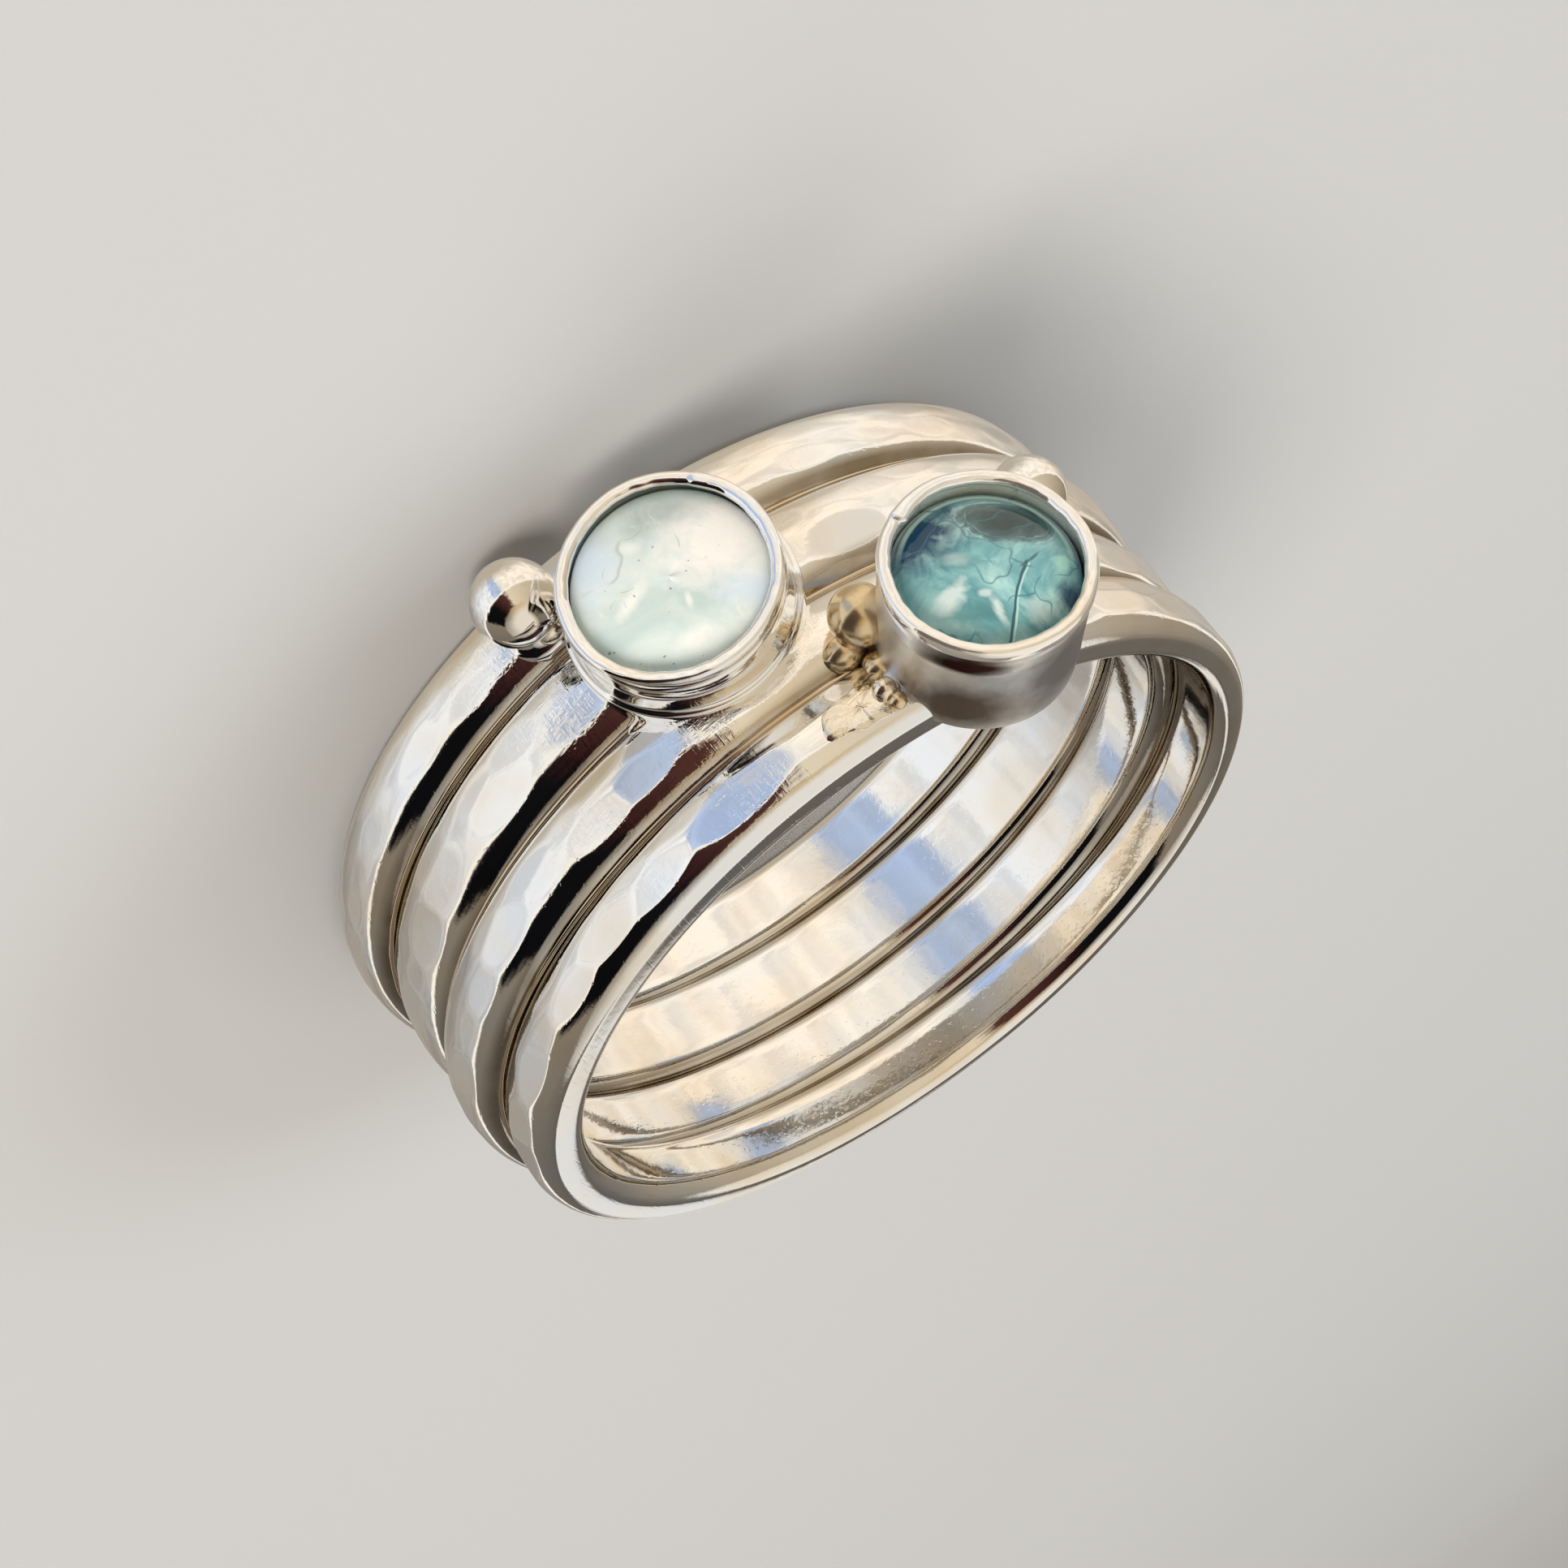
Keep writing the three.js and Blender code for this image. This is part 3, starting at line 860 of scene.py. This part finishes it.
for name in BANDS:
    build_band(name, hammered)
for lower, upper, seed in SEAMS:
    build_seam(lower, upper, seed, seam_solder)
build_cup(
    "cup_moonstone", MOON_SETTING, MOON_CUP,
    foot_depth=0.6, seam=2.4, notch=0.03, under=-60, seed=3, material=polished,
)
build_cup(
    "cup_teal", TEAL_SETTING, TEAL_CUP,
    foot_depth=0.5, seam=1.09, notch=0.12, under=-40, seed=8, material=satin,
)
for name in LUMPS:
    build_lump(name, pale_solder if name in PALE_LUMPS else solder)
for name in BEADS:
    build_bead(name, solder if name == "low" else polished)
build_stone(
    "moonstone", MOON_SETTING, MOON_CUP,
    edge=1.10, crown=1.46, power=2.4, seed=31, material=milk,
)
build_stone(
    "teal_stone", TEAL_SETTING, TEAL_CUP,
    edge=1.80, crown=2.40, power=2.0, seed=32, material=crystal,
)


# ---- floor and backdrop, in metres ----
FLOOR_SIZE = 6.0
BACKDROP_RADIUS = 0.8
BACKDROP_HEIGHT = 4.0
BACKDROP_SWEEP = 0.8
BACKDROP_STEPS = 96

bpy.ops.mesh.primitive_plane_add(size=FLOOR_SIZE, location=(0, 0, 0))
floor = bpy.context.object
floor.name = "floor"
floor.data.materials.append(floor_material())
floor.visible_glossy = False


def build_backdrop():
    """A pale wall that sweeps up from the floor all round, seen by the camera only."""
    turns = np.linspace(0, math.pi / 2, 16)
    wall_radius = BACKDROP_RADIUS + BACKDROP_SWEEP
    profile = [
        (BACKDROP_RADIUS + BACKDROP_SWEEP * math.sin(t), BACKDROP_SWEEP * (1 - math.cos(t)))
        for t in turns
    ]
    profile = np.array(profile + [(wall_radius, BACKDROP_HEIGHT)])
    turn = np.linspace(0, TAU, BACKDROP_STEPS, endpoint=False)[:, None]
    z = np.repeat(profile[None, :, 1], BACKDROP_STEPS, axis=0)
    points = np.stack([profile[:, 0] * np.cos(turn), profile[:, 0] * np.sin(turn), z], axis=2)
    faces = grid_faces(BACKDROP_STEPS, len(profile), True, False)
    mesh = bpy.data.meshes.new("backdrop")
    mesh.from_pydata([tuple(p) for p in points.reshape(-1, 3)], [], faces)
    wall = bpy.data.objects.new("backdrop", mesh)
    bpy.context.scene.collection.objects.link(wall)
    wall.data.materials.append(backdrop_material())
    wall.visible_diffuse = False
    wall.visible_glossy = False
    wall.visible_transmission = False
    wall.visible_shadow = False


build_backdrop()


# ---- lights and what the silver reflects ----
def softbox(name, direction, distance, size, power, colour):
    """A lamp in that direction, in metres, that lights but isn't seen in the silver."""
    light = bpy.data.lights.new(name, "AREA")
    light.shape = "RECTANGLE"
    light.size, light.size_y = size
    light.energy = power
    light.color = colour
    lamp = bpy.data.objects.new(name, light)
    aim = Vector(direction).normalized()
    lamp.location = aim * distance
    lamp.rotation_euler = aim.to_track_quat("Z", "Y").to_euler()
    lamp.visible_glossy = False
    bpy.context.scene.collection.objects.link(lamp)


softbox("key_warm", (0.9, -0.7, 1.1), 0.5, (0.30, 0.30), 3.2, (1.0, 0.93, 0.84))
softbox("fill_cool", (-1.1, 0.2, 0.9), 0.5, (0.30, 0.22), 1.6, (0.80, 0.90, 1.0))
softbox("back_soft", (0.1, 0.6, 1.0), 2.0, (2.0, 1.2), 24.0, (1.0, 0.98, 0.95))

# Colours by bearing: 0.5 is in front of the stones, 0.75 is +x, 0 and 1 are behind.
LOW_CARDS = (
    (0.00, (0.46, 0.42, 0.37)),
    (0.12, (0.66, 0.59, 0.50)),
    (0.22, (1.20, 1.07, 0.91)),
    (0.45, (1.28, 1.16, 1.00)),
    (0.505, (1.10, 1.06, 1.00)),
    (0.515, (0.52, 0.65, 0.93)),
    (0.575, (0.60, 0.72, 0.96)),
    (0.59, (1.12, 1.12, 1.12)),
    (0.70, (0.98, 1.0, 1.03)),
    (0.78, (0.62, 0.60, 0.58)),
    (0.88, (0.42, 0.38, 0.33)),
    (1.00, (0.46, 0.42, 0.37)),
)
DARK_FLAGS = (
    (0.00, (0.14, 0.125, 0.11)),
    (0.25, (0.55, 0.47, 0.36)),
    (0.49, (0.90, 0.78, 0.60)),
    (0.51, (0.10, 0.040, 0.032)),
    (0.59, (0.035, 0.012, 0.012)),
    (0.61, (0.006, 0.006, 0.007)),
    (0.725, (0.004, 0.004, 0.005)),
    (0.74, (0.27, 0.23, 0.18)),
    (0.85, (0.20, 0.175, 0.15)),
    (0.945, (0.14, 0.125, 0.11)),
    (0.96, (0.95, 0.92, 0.87)),
    (0.985, (0.90, 0.87, 0.83)),
    (1.00, (0.14, 0.125, 0.11)),
)
HIGH_CARDS = (
    (0.00, (1.0, 0.97, 0.92)),
    (0.30, (0.85, 0.74, 0.57)),
    (0.50, (0.70, 0.54, 0.32)),
    (0.62, (0.34, 0.30, 0.25)),
    (0.80, (0.50, 0.48, 0.44)),
    (1.00, (1.0, 0.97, 0.92)),
)
FLOOR_GLOW = (0.56, 0.49, 0.38)
LOW_EDGE = (1.15, 1.10, 1.0)
ZENITH = (0.92, 0.87, 0.79)
WORLD_STRENGTH = 0.9


def build_world():
    world = bpy.data.worlds.new("studio")
    bpy.context.scene.world = world
    world.use_nodes = True
    w = Graph(world.node_tree)
    direction = w.add("ShaderNodeTexCoord").outputs["Generated"]
    x, y, z = w.split(direction)
    uneven = w.minus(w.noise(direction, 5.0, 3.0), 0.5)
    turn = w.math("DIVIDE", w.math("ARCTAN2", x, w.times(y, -1.0)), TAU)
    bearing = w.plus(turn, w.plus(w.times(uneven, 0.06), 0.5))
    height = w.plus(w.plus(w.times(z, 0.5), 0.5), w.times(uneven, 0.05))
    mottled = w.ramp(w.noise(direction, 4.5, 2.0, 0.5, 0.8), [(0.38, (0.78, 0.79, 0.81)), (0.56, 1)])
    tone = w.mix(1.0, w.ramp(bearing, LOW_CARDS), mottled, "MULTIPLY")
    tone = w.mix(w.ramp(height, [(0.02, 1), (0.16, 0)]), tone, FLOOR_GLOW)
    # the height where each layer starts and the one where it is full, 0.5 at the horizon
    layers = (
        (0.42, 0.435, LOW_EDGE),
        (0.46, 0.475, w.ramp(bearing, DARK_FLAGS)),
        (0.80, 0.84, w.ramp(bearing, HIGH_CARDS)),
        (0.86, 0.95, ZENITH),
    )
    for start, full, layer in layers:
        tone = w.mix(w.ramp(height, [(start, 0), (full, 1)]), tone, layer)
    background = w.add("ShaderNodeBackground")
    background.inputs["Strength"].default_value = WORLD_STRENGTH
    w.link(tone, background.inputs[0])
    w.link(background.outputs[0], w.add("ShaderNodeOutputWorld").inputs[0])


build_world()
bpy.context.scene.view_settings.view_transform = "Standard"

# ---- camera ----
AIM = Vector((-0.255, RING_AXIS[1] - 1.185, 3.355)) * MM
CAMERA_DISTANCE = 60.0 * MM
ELEVATION = math.radians(25.8)
AZIMUTH = math.radians(0.17)
ROLL = math.radians(141.3)
SENSOR_WIDTH = 36.0
LENS = 59.2


def place_camera():
    level = math.cos(ELEVATION)
    back = Vector((-math.sin(AZIMUTH) * level, -math.cos(AZIMUTH) * level, math.sin(ELEVATION)))
    level_right = (-back).cross(Vector((0, 0, 1))).normalized()
    level_up = level_right.cross(-back).normalized()
    right = math.cos(ROLL) * level_right + math.sin(ROLL) * level_up
    up = math.cos(ROLL) * level_up - math.sin(ROLL) * level_right
    data = bpy.data.cameras.new("camera")
    data.sensor_width = SENSOR_WIDTH
    data.lens = LENS
    data.clip_start = 0.002
    data.clip_end = 20.0
    camera = bpy.data.objects.new("camera", data)
    camera.matrix_world = Matrix((
        (right.x, up.x, back.x, AIM.x + back.x * CAMERA_DISTANCE),
        (right.y, up.y, back.y, AIM.y + back.y * CAMERA_DISTANCE),
        (right.z, up.z, back.z, AIM.z + back.z * CAMERA_DISTANCE),
        (0, 0, 0, 1),
    ))
    bpy.context.scene.collection.objects.link(camera)
    bpy.context.scene.camera = camera


place_camera()
